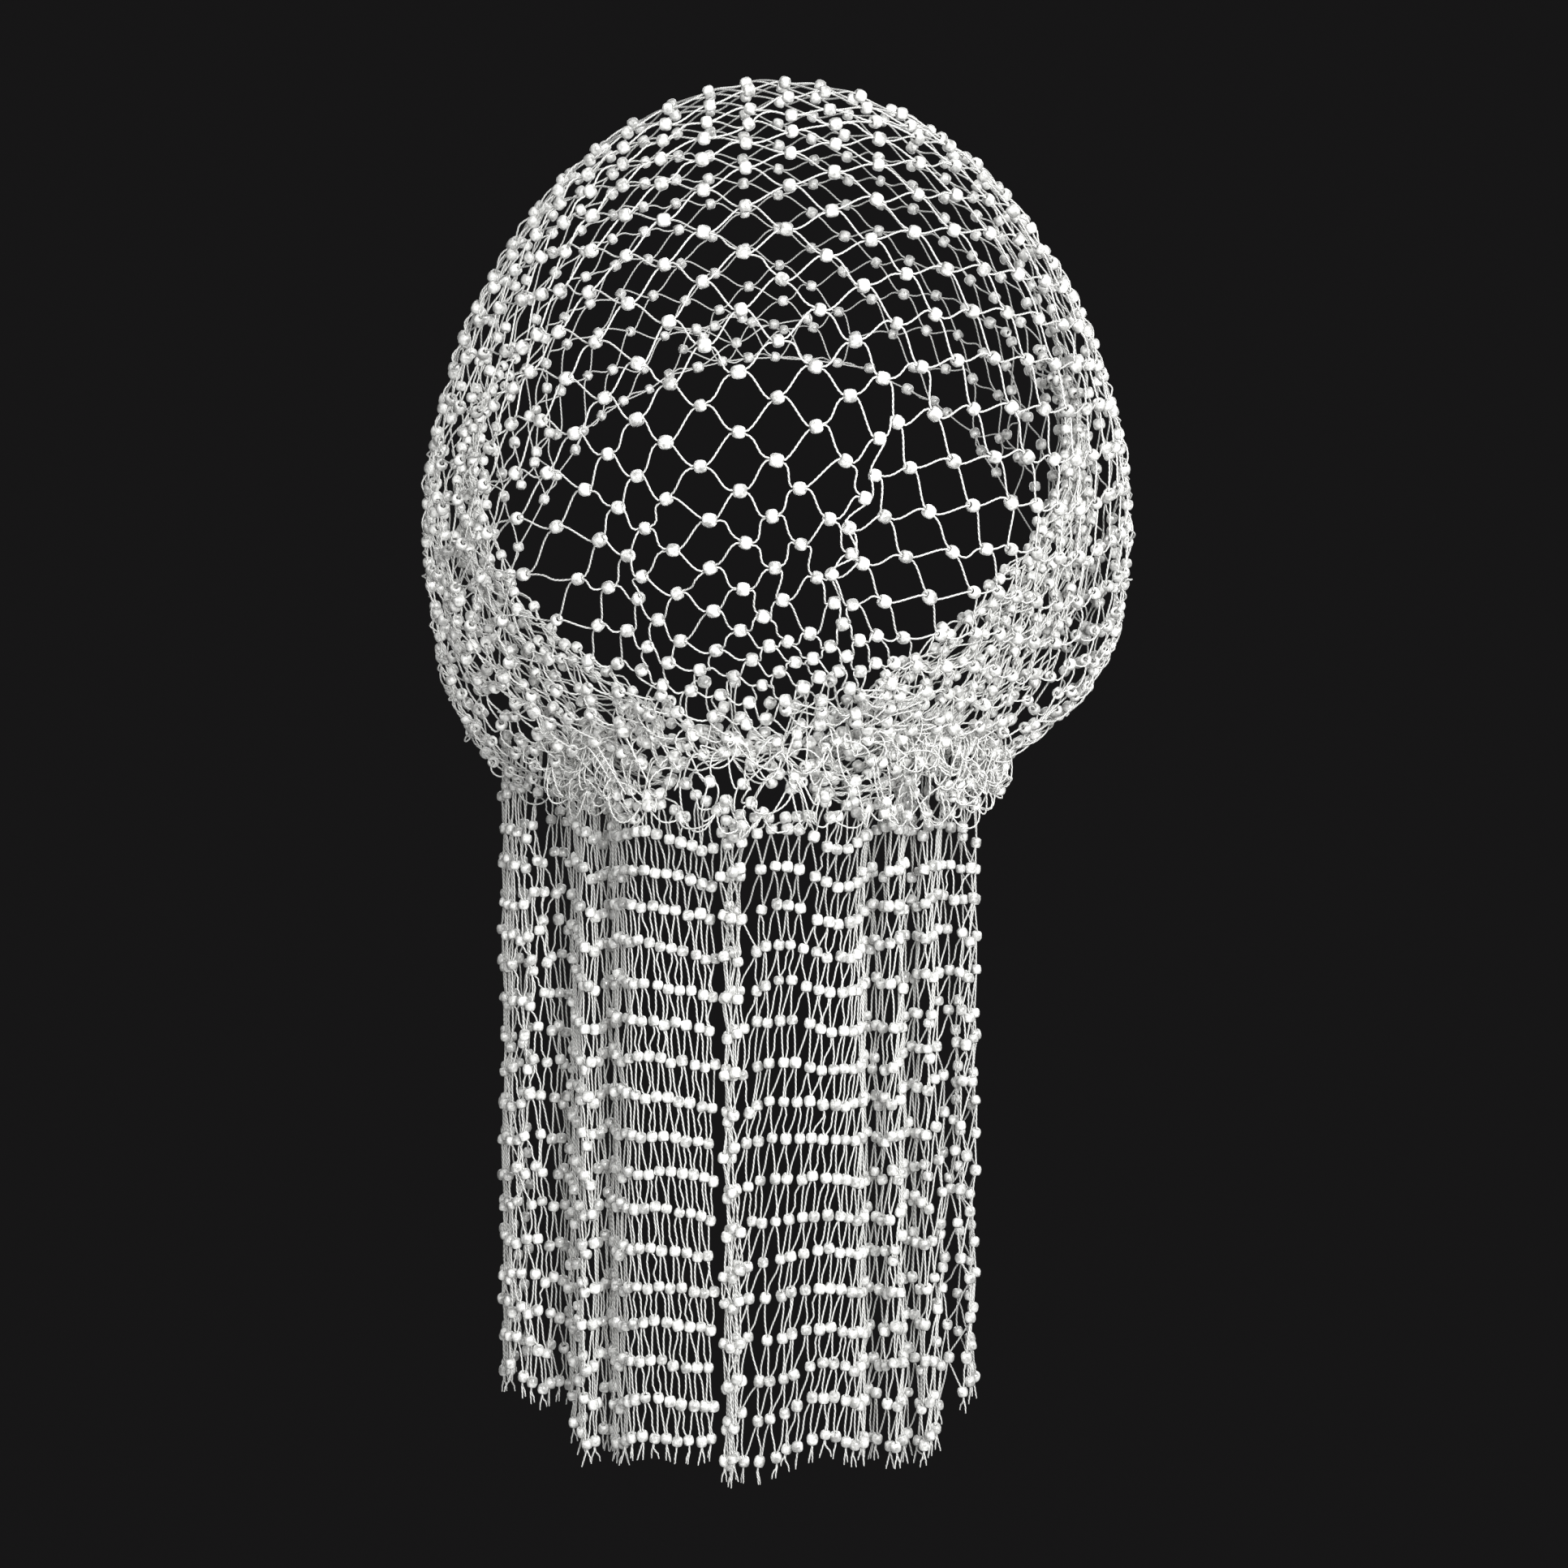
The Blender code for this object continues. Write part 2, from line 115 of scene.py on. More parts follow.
# Beads that the photograph doesn't show, placed by guess: the same on both sides
Hidden = namedtuple("Hidden", "column row x y z")
HIDDEN = [Hidden(*place) for place in (
    (0, -22, 0, 79, -46), (6, -20, 49, 70, -62), (10, -12, 70, 48, -79),
    (0, -12, 0, 32, -8), (6, -11, 48, 26, -24), (10, -4, 72, 11, -52),
    (14, -4, 81, 31, -115), (14, 0, 84, 20, -96), (14, 6, 82, -11, -79),
    (14, 14, 77, -42, -115), (14, 21, 58, -39, -151),
    (18, 4, 84, 12, -129), (18, 10, 85, -10, -109), (18, 16, 76, -19, -141),
    (18, 20, 65, -18, -159), (22, 11, 79, 4, -149), (22, 15, 72, -4, -160),
    # these lie past the front edge and only guide the net up to it
    (0, -28, 0, 90, -78), (6, -26, 48, 80, -96), (10, -17, 66, 66, -104),
    (14, -10, 77, 45, -143), (18, -2, 80, 28, -150),
)]
BROW = (79.0, -46.0)  # where the front edge crosses the middle
EDGE_GAP = 4.4  # least way between two beads of the front edge
EDGE_REACH = 3.6  # beads this near the front edge are tied to its thread
LONGEST_EDGE = 20  # no edge thread spans more
COLUMNS = 28  # from the middle to each side
ROWS = (-31, 35)
SETTLE_ROUNDS = 110
TIE_LENGTH = (9.3, 10.4)  # from bead to bead along a thread, least and most
MESH_HEIGHT = (9.8, 13.0)  # from end to end of a mesh, least and most
MARK_REACH = 2.6  # columns and rows over which a mark holds its neighbours
GUIDE_ANGLE = 0.25  # how far past the front edge beads still take part, in radians
MAP_EDGE = 175  # degrees from the back of the crown at which its map ends
LOWEST_START, LOWEST_BEAD = -178, -171  # of the crown's beads, before and after they settle

# Gathers: the middle line of the bundle on each side, from its front end to the knot
Bundle = namedtuple("Bundle", "out back height thick")
GATHER = [
    Bundle(57.0, -36.0, -51.0, 4.5),
    Bundle(68.8, -14.0, -68.0, 5.0),
    Bundle(72.5, -2.0, -90.0, 6.0),
    Bundle(68.0, 8.0, -113.0, 7.5),
    Bundle(58.5, 18.0, -134.0, 8.5),
    Bundle(45.0, 26.0, -149.0, 9.5),
    Bundle(32.0, 32.0, -158.5, 11.0),
    Bundle(22.0, 36.5, -163.5, 12.0),
    Bundle(14.6, 39.0, -164.5, 8.5),
]
# Rows as above, left and right: how much further out the net lies, and how wide the bundle is
GATHER_OUT = {-1: (4, 6, 6, 5, 3.5, 2.5, 1, 0, 0), 1: (4, 6, 5, 3.5, 0.5, 0, 0, 0, 0)}
GATHER_WIDTH = {-1: (5, 5, 6, 10, 17, 22, 22, 20, 14), 1: (6, 7, 11, 20, 27, 29, 27, 24, 15)}
GATHER_HEART = 25.0  # how far above its start the bundle's outer side turns away from
GATHER_TURN = 1.1  # how strongly its middle turns toward the back
GATHER_STRANDS = {-1: 32, 1: 54}  # half meshes across the bundle, left and right
GATHER_FREE = 7.6  # length of its threads
GATHER_BEADS = 0.96  # share of the beads that lie where they can be seen
GATHER_FOLDS = 4.3
GATHER_FEED = 0.62  # share of its way over which strands still join the bundle

# Knot
KNOT_AT = np.array([-5.5, -39.0, -164.5])
KNOT_RADII = np.array([13.0, 9.5, 12.0])
KNOT_STRANDS, KNOT_STAR_BEADS = 30, 9
KNOT_CLUMP = 18  # beads drawn together beside it

# Nape: the drawn-in lower edge of the net, over the knot and the tops of the tails
Fold = namedtuple("Fold", "x y top foot")
NAPE_EDGE = [
    Fold(-52, -26, -160, -172),
    Fold(-41, -36, -157, -176),
    Fold(-25, -46, -151, -177),
    Fold(-5, -52, -149, -178),
    Fold(15, -50, -150, -177),
    Fold(32, -42, -154, -176),
    Fold(44, -34, -156, -175),
    Fold(54, -23, -158, -172),
]
NAPE_COLUMNS = 40
NAPE_ROWS = 7
NAPE_TUCK = 5.0
NAPE_FREE = 10.8  # length of its threads
NAPE_LOOPS = 110
LOOP_SPAN = (5.0, 11.0)  # from bead to bead
LOOP_SLACK = (1.25, 1.8)  # a loop's length over its span

# Tails: the pleats of each hanging end in plan, how low each hangs, where its top is, and how many
# of the strands are used up by there
Pleat = namedtuple("Pleat", "x y foot top_y top strand")
LEFT_TAIL = [
    Pleat(-15.6, -17.5, -335.0, -38.5, -175.9, 0), Pleat(-23.0, -21.0, -334.0, -38.0, -175.2, 6),
    Pleat(-33.5, -20.5, -333.0, -33.5, -173.9, 14), Pleat(-39.0, -12.0, -336.0, -20.0, -174.5, 20),
    Pleat(-42.0, -1.0, -337.0, -8.0, -172.5, 26), Pleat(-46.5, -12.0, -338.0, -15.0, -171.0, 33),
    Pleat(-50.5, -1.0, -332.0, -5.0, -170.6, 39), Pleat(-54.0, 9.0, -328.0, 4.0, -170.6, 44),
    Pleat(-60.0, -1.0, -326.0, -4.0, -170.6, 50), Pleat(-67.5, 4.0, -326.0, 2.0, -170.6, 56),
    Pleat(-70.5, 16.0, -326.0, 14.0, -170.6, 62), Pleat(-66.0, 29.0, -326.0, 26.0, -170.6, 67),
]
RIGHT_TAIL = [
    Pleat(-9.6, -22.0, -340.0, -39.0, -176.4, 0), Pleat(-12.2, -20.0, -341.0, -38.5, -176.8, 4),
    Pleat(-9.8, -15.5, -341.0, -38.0, -177.2, 8), Pleat(-5.0, -15.0, -341.0, -37.0, -177.6, 11),
    Pleat(0.5, -19.0, -338.0, -38.0, -176.4, 14), Pleat(11.0, -22.0, -333.0, -38.0, -175.2, 21),
    Pleat(19.5, -16.0, -336.0, -34.0, -174.9, 28), Pleat(22.5, -4.0, -337.0, -24.0, -174.6, 34),
    Pleat(28.5, -15.0, -338.0, -29.0, -174.0, 41), Pleat(32.5, -2.0, -338.0, -10.0, -174.5, 47),
    Pleat(37.0, -11.0, -337.0, -15.0, -173.0, 53), Pleat(42.0, 3.0, -330.0, -2.0, -171.0, 58),
    Pleat(46.5, -5.0, -328.0, -7.0, -170.6, 61), Pleat(50.5, 9.0, -327.0, 6.0, -170.6, 64),
    Pleat(47.0, 23.0, -327.0, 20.0, -170.6, 67),
]
# Strands of the flat panels, whose rows are regular
LEFT_PANEL = (0, 17)
RIGHT_PANEL = (11, 29)
TAIL_ASKEW = {-1: 0.3, 1: 0.75}  # half meshes that the net's columns move across from row to row
TAIL_FAN = {-1: (0.55, 1.0), 1: (-0.3, 0.75)}  # how quickly threads part at a bead, least and most
THREAD_DOWN = np.array([0.0, 0.1, 0.3, 0.5, 0.7, 0.9, 1.0])  # along a hanging thread
TAIL_STRANDS = 68  # half meshes across each tail
TAIL_ROWS = 17
TAIL_FALLS_FREE = 0.2  # share of the length over which a pleat leaves its top and hangs straight
FIRST_ROW = -181.0
CUT_END = 4.6  # length of the cut threads under the last row

DOWN = np.array([0.0, 0.0, -1.0])
BACK = np.array([0.0, -1.0, 0.0])

rng = np.random.default_rng(11)
noise = rng.standard_normal


def unit(v):
    return v / np.maximum(np.linalg.norm(v, axis=-1, keepdims=True), 1e-9)


def rise(value, start, way):
    """From 0 to 1 as a value goes a way past its start."""
    return np.clip((value - start) / way, 0, 1)


def lattice(columns, rows):
    """Places of a lattice where a bead sits: both numbers even or both odd."""
    columns, rows = np.meshgrid(columns, rows, indexing="ij")
    keep = (columns + rows) % 2 == 0
    return columns[keep], rows[keep]


def smooth_rows(table, at):
    """Reads every column of a table at places between its rows, on a smooth curve through them."""
    table = np.asarray(table, float)
    at = np.asarray(at, float)
    last = len(table) - 1
    first = np.clip(at.astype(int), 0, last - 1)
    share = (at - first)[..., None]
    before, start, end, after = (table[np.clip(first + k, 0, last)] for k in (-1, 0, 1, 2))
    square, cube = share**2, share**3
    return (
        start * (2 * cube - 3 * square + 1)
        + 0.5 * (end - before) * (cube - 2 * square + share)
        + end * (3 * square - 2 * cube)
        + 0.5 * (after - start) * (cube - square)
    )


def along_rows(table, at, step):
    """How a table's columns change round a place between its rows."""
    after, before = np.minimum(at + step, len(table) - 1), np.maximum(at - step, 0)
    return smooth_rows(table, after) - smooth_rows(table, before)


def crown_size(depth):
    """Half width, back and front reach at a depth. Near the top all grow as the root of the depth."""
    depths = np.array([level.depth for level in CROWN])
    depth = np.clip(depth, 0.0, depths[-1])
    row = np.clip(np.searchsorted(depths, depth, side="right") - 1, 0, len(CROWN) - 2)
    share = (np.sqrt(depth) - np.sqrt(depths[row])) / (np.sqrt(depths[row + 1]) - np.sqrt(depths[row]))
    return smooth_rows([level[1:] for level in CROWN], row + share)


def outside_crown(points, inward):
    """More than 0 where a point lies outside the crown's skin, moved in by a distance."""
    depth = WALL - inward - points[..., 2]
    size = crown_size(depth)
    reach = np.where(points[..., 1] < 0, size[..., 1], size[..., 2])
    less = sum(taper.share * rise(depth, taper.start, taper.way) for taper in RIGHT_TAPERS)
    ahead = AHEAD_TAPER * rise(points[..., 1], -8.0, 40.0) * rise(depth, 50.0, 40.0)
    wide = size[..., 0] * (1.0 - less * (points[..., 0] > 0)) * (1.0 - ahead)
    across = points[..., 0] / np.maximum(wide - inward, 1.0)
    out = np.hypot(across, points[..., 1] / np.maximum(reach - inward, 1.0)) - 1.0
    return np.where(depth <= 0, 1.0, out)


def skin_on_ray(start, way, inward=1.0):
    near, far = np.zeros(way.shape[:-1]), np.full(way.shape[:-1], 300.0)
    for _ in range(26):
        middle = 0.5 * (near + far)
        out = outside_crown(start + way * middle[..., None], inward) > 0
        far, near = np.where(out, middle, far), np.where(out, near, middle)
    return start + way * near[..., None]


def on_crown(points, inward=1.0):
    """Moves points to the crown's skin, on lines from its heart."""
    return skin_on_ray(HEART, unit(points - HEART), inward)


def to_map(points):
    """Places on a flat map round the back of the crown, in degrees."""
    way = unit(points - HEART)
    angle = np.degrees(np.arccos(np.clip(-way[..., 1], -1, 1)))
    side = np.hypot(way[..., 0], way[..., 2])
    return np.stack([way[..., 0], way[..., 2]], -1) / np.maximum(side, 1e-9)[..., None] * angle[..., None]


def from_map(places):
    angle = np.hypot(places[..., 0], places[..., 1])
    turn = np.radians(angle)
    flat = places / np.maximum(angle, 1e-9)[..., None] * np.sin(turn)[..., None]
    return skin_on_ray(HEART, np.stack([flat[..., 0], -np.cos(turn), flat[..., 1]], -1))


def under_pixel(x, y):
    """Where the line of sight through a pixel of the photograph first meets the crown."""
    way = np.array([(x - PICTURE / 2) / FOCAL_PX, 1.0, (PICTURE / 2 - y) / FOCAL_PX])
    line = CAMERA_AT + way * SIGHT[:, None]
    out = outside_crown(line, 1.0)
    return line[np.argmax(out < 0)] if (out < 0).any() else on_crown(line[np.argmin(out)])


def spread(columns, rows, places, at_columns, at_rows):
    """A smooth surface through marked places, a thin plate, read at other columns and rows."""

    def bend(c, r, c2, r2):
        d = (c[:, None] - c2[None]) ** 2 + (r[:, None] - r2[None]) ** 2
        return 0.5 * d * np.log(np.maximum(d, 1e-12))

    c, r = np.asarray(columns, float), np.asarray(rows, float)
    n = len(c)
    flat = np.stack([np.ones(n), c, r], 1)
    left = np.block([[bend(c, r, c, r) + 0.02 * np.eye(n), flat], [flat.T, np.zeros((3, 3))]])
    weight = np.linalg.solve(left, np.vstack([places, np.zeros((3, places.shape[1]))]))
    ac, ar = np.asarray(at_columns, float), np.asarray(at_rows, float)
    return bend(ac, ar, c, r) @ weight[:n] + np.stack([np.ones(len(ac)), ac, ar], 1) @ weight[n:]


def tied(columns, rows):
    """Pairs of beads that a thread joins, the one with the lower column first."""
    index = {(c, r): k for k, (c, r) in enumerate(zip(columns.tolist(), rows.tolist()))}
    near = [(k, index.get((c + 1, r + step))) for (c, r), k in index.items() for step in (-1, 1)]
    return np.array([pair for pair in near if pair[1] is not None])


def over_mesh(columns, rows):
    """Pairs of beads at the two ends of a mesh, in one column."""
    index = {(c, r): k for k, (c, r) in enumerate(zip(columns.tolist(), rows.tolist()))}
    return np.array([(k, index[c, r + 2]) for (c, r), k in index.items() if (c, r + 2) in index])


def settle(points, pairs, hold, shortest, longest, apart=3.2):
    """Draws the crown's threads to their length and keeps its beads apart, on its skin."""
    goal = points.copy()
    share = 1.0 / np.maximum(np.bincount(pairs.ravel(), minlength=len(points)), 1)[:, None]
    for _ in range(SETTLE_ROUNDS):
        step = points[pairs[:, 1]] - points[pairs[:, 0]]
        length = np.maximum(np.linalg.norm(step, axis=1), 1e-6)
        pull = step * ((length - np.clip(length, shortest, longest)) / length)[:, None]
        move = np.zeros_like(points)
        np.add.at(move, pairs[:, 0], pull)
        np.add.at(move, pairs[:, 1], -pull)
        points = points + move * share * 0.9 + hold[:, None] * (goal - points)
        gap = points[:, None] - points[None]
        near = np.sqrt((gap**2).sum(-1)) + 1e3 * np.eye(len(points))
        crowd = np.maximum(apart - near, 0.0) / near
        points = on_crown(points + 0.5 * (gap * crowd[..., None]).sum(1))
    return points


def part_beads(points, apart=2.8, rounds=12):
    """Moves beads apart that are in one another."""
    for _ in range(rounds):
        gap = points[:, None] - points[None]
        near = np.sqrt((gap**2).sum(-1)) + 1e3 * np.eye(len(points))
        points = points + 0.45 * (gap * (np.maximum(apart - near, 0.0) / near)[..., None]).sum(1)
    return points


def fan_angle(points):
    """How far back a point is, as an angle round the line through the crown's lower corners."""
    return np.arctan2(points[..., 2] - FAN_AXIS[1], points[..., 1] - FAN_AXIS[0])


def crown_beads():
    """Columns, rows and places of the crown's beads, and which of them are on its front edge."""
    seen = np.array([under_pixel(mark.x, mark.y) for mark in MARKS])
    hidden = [
        (bead.column * side, bead.row, bead.x * side, bead.y, bead.z)
        for bead in HIDDEN
        for side in ((1, -1) if bead.column else (1,))
    ]
    hidden = np.array(hidden, float)
    marked = np.vstack([np.array([mark[:2] for mark in MARKS], float), hidden[:, :2]])
    columns, rows = lattice(np.arange(-COLUMNS, COLUMNS + 1), np.arange(*ROWS))
    places = to_map(np.vstack([seen, on_crown(hidden[:, 2:])]))
    spots = spread(marked[:, 0], marked[:, 1], places, columns, rows)
    points = from_map(spots)
    first, last = fan_angle(np.array([[0.0, *BROW], [0.0, *NAPE]]))
    keep = (fan_angle(points) > first - GUIDE_ANGLE) & (points[:, 2] > LOWEST_START)
    keep &= np.hypot(spots[:, 0], spots[:, 1]) < MAP_EDGE
    columns, rows, points = columns[keep], rows[keep], points[keep]
    seen_at = marked[None, : len(MARKS)]
    far = np.hypot(columns[:, None] - seen_at[..., 0], rows[:, None] - seen_at[..., 1]).min(1)
    hold = 0.008 + 0.9 / (1 + (far / MARK_REACH) ** 6)
    ties, across_mesh = tied(columns, rows), over_mesh(columns, rows)
    shortest, longest = (
        np.repeat([tie, mesh], [len(ties), len(across_mesh)]) for tie, mesh in zip(TIE_LENGTH, MESH_HEIGHT)
    )
    points = settle(points, np.vstack([ties, across_mesh]), hold, shortest, longest)
    axis = np.array([0.0, *FAN_AXIS])
    turn = fan_angle(points)
    reach = np.hypot(points[:, 1] - FAN_AXIS[0], points[:, 2] - FAN_AXIS[1])
    past = (turn - first) * reach
    # each column ends with its bead that is furthest forward
    ahead = {}
    for c, r, t in zip(columns, rows, np.where(past > -EDGE_REACH, turn, 9.0)):
        if r < 12 and t < ahead.get(c, (8.0, 0))[0]:
            ahead[c] = (t, r)
    foremost = np.array([ahead.get(c, (0, ROWS[0]))[1] for c in columns])
    keep = (past > -EDGE_REACH) & (turn < last + 0.04) & (points[:, 2] > LOWEST_BEAD) & (rows >= foremost)
    edge = (past < EDGE_REACH) | ((rows == foremost) & (past < 3 * EDGE_REACH))
    columns, rows, points, past, reach, edge = (v[keep] for v in (columns, rows, points, past, reach, edge))
    drawn = np.stack([points[:, 0], reach * np.cos(first), reach * np.sin(first)], -1) + axis
    points = np.where(edge[:, None], on_crown(drawn), points)
    # beads that would lie on one another at the edge, and loose ends, are left out
    keep = np.ones(len(points), bool)
    before = None
    for k in in_order(points, edge):
        if before is not None and np.linalg.norm(points[k] - points[before]) < EDGE_GAP:
            keep[k] = False
        else:
            before = k
    columns, rows, points, edge = columns[keep], rows[keep], points[keep], edge[keep]
    for _ in range(4):
        keep = edge | (np.bincount(tied(columns, rows).ravel(), minlength=len(points)) > 1)
        columns, rows, points, edge = columns[keep], rows[keep], points[keep], edge[keep]
    return columns, rows, points, edge


def in_order(points, on_edge):
    """The beads of the front edge, from side to side."""
    found = np.flatnonzero(on_edge)
    return found[np.argsort(np.arctan2(points[found, 0], points[found, 2] + 175))]


def crown_facing(points):
    """The crown's outward way at points on its skin."""
    grow = [outside_crown(points + step, 1.0) - outside_crown(points - step, 1.0) for step in 0.5 * np.eye(3)]
    return unit(np.stack(grow, -1))


def bead_axes(points, pairs, facing, fallback):
    """The way of each bead's hole, from the beads before it to those after it."""
    way = np.zeros_like(points)
    step = unit(points[pairs[:, 1]] - points[pairs[:, 0]])
    np.add.at(way, pairs[:, 0], step)
    np.add.at(way, pairs[:, 1], step)
    way = np.where(np.linalg.norm(way, axis=1, keepdims=True) < 0.2, fallback, way)
    return unit(way - facing * (way * facing).sum(-1, keepdims=True))


def thread_curves(start, start_way, end, end_way, length, parts, bulge=None, stiff=0.62):
    """Threads of a length between points, leaving and arriving along given ways."""
    straight = np.linalg.norm(end - start, axis=1)
    low, high = np.full(len(start), 0.2), np.maximum(straight * stiff, 1.6)
    if bulge is None:
        bulge = np.zeros_like(start)

    def curve(reach, steps):
        t = np.linspace(0, 1, steps + 1)[None, :, None]
        s = 1 - t
        reach = reach[:, None]
        b = (start + start_way * reach + bulge)[:, None]
        c = (end - end_way * reach + bulge)[:, None]
        return s**3 * start[:, None] + 3 * s**2 * t * b + 3 * s * t**2 * c + t**3 * end[:, None]

    for _ in range(12):
        reach = 0.5 * (low + high)
        run = np.linalg.norm(np.diff(curve(reach, 10), axis=1), axis=2).sum(1)
        low, high = np.where(run < length, reach, low), np.where(run < length, high, reach)
    return curve(0.5 * (low + high), parts)


def net_threads(points, pairs, axes, facing, free, parts=7, curl=0.45, flat=0.6, relax=0.3):
    """The threads of a net: two leave each end of a bead, one over the other. Slack stands out."""
    across = np.cross(facing, axes)
    a, b = pairs[:, 0], pairs[:, 1]
    lean = np.sign(((points[b] - points[a]) * across[a]).sum(1))[:, None]
    start = points[a] + axes[a] * THREAD_LEAVES + across[a] * lean * 0.17
    end = points[b] - axes[b] * THREAD_LEAVES - across[b] * lean * 0.17
    length = free * (1 + 0.02 * noise(len(a)))
    straight = np.linalg.norm(end - start, axis=1)
    slack = np.maximum(length - straight, 0.0)
    bow = np.sqrt(slack * np.maximum(straight, 2.0)) * curl
    angle = (rng.random(len(a)) - 0.35) * 2.6
    bulge = (facing[a] + facing[b]) * 0.5 * (np.cos(angle) * bow)[:, None]
    bulge = bulge + across[a] * (np.sin(angle) * bow * flat)[:, None]
    bulge[slack < 0.6] *= 0.3
    wanted = np.maximum(np.minimum(length, straight * 1.05 + slack * relax), straight * 1.025)
    return thread_curves(start, axes[a], end, axes[b], wanted, parts, bulge), unit(facing[a] + facing[b])


def hanging_threads(points, pairs, axes, facing, fan):
    """Threads that hang from bead to bead, nearly straight, with a little sway."""
    a, b = pairs[:, 0], pairs[:, 1]
    across = np.cross(facing, [0.0, 0.0, 1.0])
    lean = 0.3 * np.sign(((points[b] - points[a]) * across[a]).sum(1))[:, None]
    start = points[a] + axes[a] * THREAD_LEAVES + across[a] * lean
    step = points[b] - axes[b] * THREAD_LEAVES - across[b] * lean - start
    level = np.stack([step[:, 0], step[:, 1], np.zeros(len(a))], -1)
    fan = rng.uniform(*fan, (len(a), 1))
    over = THREAD_DOWN + fan * np.sin(2 * np.pi * THREAD_DOWN) / (2 * np.pi)
    curves = start[:, None] + over[..., None] * level[:, None]
    curves[..., 2] += THREAD_DOWN * step[:, 2:3]
    sway = (0.26 * noise(len(a)))[:, None] * np.sin(np.pi * THREAD_DOWN)[None]
    sway = sway + (0.2 * noise(len(a)))[:, None] * np.sin(2 * np.pi * THREAD_DOWN)[None]
    return curves + sway[..., None] * across[a][:, None], facing[a]


def edge_threads(points, order, facing, slack, sag):
    """One thread from bead to bead along an edge. Its slack, as a share of its run, hangs out."""
    a, b = order[:-1], order[1:]
    step = points[b] - points[a]
    run = np.linalg.norm(step, axis=1)
    t = np.linspace(0, 1, 7)
    hang = np.sqrt(3 / 8 * slack) * run * (1 + 0.25 * noise(len(a)))
    curves = points[a][:, None] + step[:, None] * t[None, :, None]
    return curves + (hang[:, None] * 4 * t * (1 - t))[..., None] * sag[a][:, None], facing[a]


def rings_round(out, side, sides):
    """Unit rings in the planes of two ways, as steps along their last axis but one."""
    turn = (2 * np.pi * np.arange(sides) / sides)[:, None]
    return out[..., None, :] * np.cos(turn) + side[..., None, :] * np.sin(turn)


class Pieces:
    """Collects beads and threads, and joins them into one mesh."""

    def __init__(self):
        self.points, self.faces, self.uvs, self.kinds, self.size = [], [], [], [], 0

    def _add(self, points, faces, uvs, kind):
        self.points.append(points.reshape(-1, 3))
        self.faces.append(faces.reshape(-1, 4) + self.size)
        self.uvs.append(uvs.reshape(-1, 2))
        self.kinds.append(np.full(faces.size // 4, kind))
        self.size += points.size // 3

    def beads(self, centres, axes, facing, scale=None):
        n = len(centres)
        side = unit(np.cross(axes, facing))
        out = np.cross(side, axes)
        half = np.array(BEAD_PROFILE)
        profile = np.concatenate([half * (-1, 1), half[::-1]])
        if scale is None:
            scale = 1 + 0.035 * noise(n)
        squash = 1 + 0.05 * noise(n)
        along = profile[:, 0][None, :, None] * (scale * squash)[:, None, None]
        radius = profile[:, 1][None, :, None] * scale[:, None, None]
        ring = rings_round(out, side, BEAD_SIDES)[:, None]
        points = centres[:, None, None] + axes[:, None, None] * along[..., None] + ring * radius[..., None]
        rings, sides = len(profile), BEAD_SIDES
        i, k = np.meshgrid(np.arange(rings), np.arange(sides), indexing="ij")
        i2, k2 = (i + 1) % rings, (k + 1) % sides
        quad = np.stack([i * sides + k, i2 * sides + k, i2 * sides + k2, i * sides + k2], -1).reshape(-1, 4)
        faces = quad[None] + (np.arange(n) * rings * sides)[:, None, None]
        u, v = np.stack([k, k, k + 1, k + 1], -1) / sides, np.stack([i, i + 1, i + 1, i], -1) / rings
        uv = np.stack([u, v], -1)
        uvs = np.broadcast_to(uv.reshape(1, -1, 4, 2), (n, rings * sides, 4, 2))
        self._add(points, faces, uvs, 0)

    def threads(self, curves, facing, taper=None):
        n, steps = len(curves), curves.shape[1]
        way = unit(np.gradient(curves, axis=1))
        side = unit(np.cross(way, facing[:, None]))
        out = np.cross(side, way)
        sides = THREAD_SIDES
        width = THREAD_RADIUS * (np.ones(steps) if taper is None else taper)
        points = curves[:, :, None] + rings_round(out, side, sides) * width[None, :, None, None]
        s, k = np.meshgrid(np.arange(steps - 1) * sides, np.arange(sides), indexing="ij")
        k2 = (k + 1) % sides
        quad = np.stack([s + k, s + k2, s + sides + k2, s + sides + k], -1)
        faces = quad.reshape(1, -1, 4) + (np.arange(n) * steps * sides)[:, None, None]
        run = np.cumsum(np.linalg.norm(np.diff(curves, axis=1), axis=2), axis=1)
        run = np.concatenate([np.zeros((n, 1)), run], 1) / TWIST_PITCH + rng.random(n)[:, None]
        v = np.stack([run[:, :-1], run[:, :-1], run[:, 1:], run[:, 1:]], -1)[:, :, None, :]
        u = np.stack([k, k + 1, k + 1, k], -1)[None] / sides
        shape = (n, steps - 1, sides, 4)
        uvs = np.stack([np.broadcast_to(u, shape), np.broadcast_to(v, shape)], -1)
        self._add(points, faces, uvs, 1)

    def join(self, name, materials):
        points = np.concatenate(self.points) * MM
        faces = np.concatenate(self.faces)
        mesh = bpy.data.meshes.new(name)
        mesh.vertices.add(len(points))
        mesh.vertices.foreach_set("co", points.astype(np.float32).ravel())
        mesh.loops.add(faces.size)
        mesh.loops.foreach_set("vertex_index", faces.astype(np.int32).ravel())
        mesh.polygons.add(len(faces))
        mesh.polygons.foreach_set("loop_start", np.arange(0, faces.size, 4, dtype=np.int32))
        mesh.polygons.foreach_set("material_index", np.concatenate(self.kinds).astype(np.int32))
        layer = mesh.uv_layers.new(name="UVMap")
        layer.data.foreach_set("uv", np.concatenate(self.uvs).astype(np.float32).ravel())
        mesh.update(calc_edges=True)
        mesh.validate()
        mesh.shade_smooth()
        for material in materials:
            mesh.materials.append(material)
        return add_object(name, mesh)


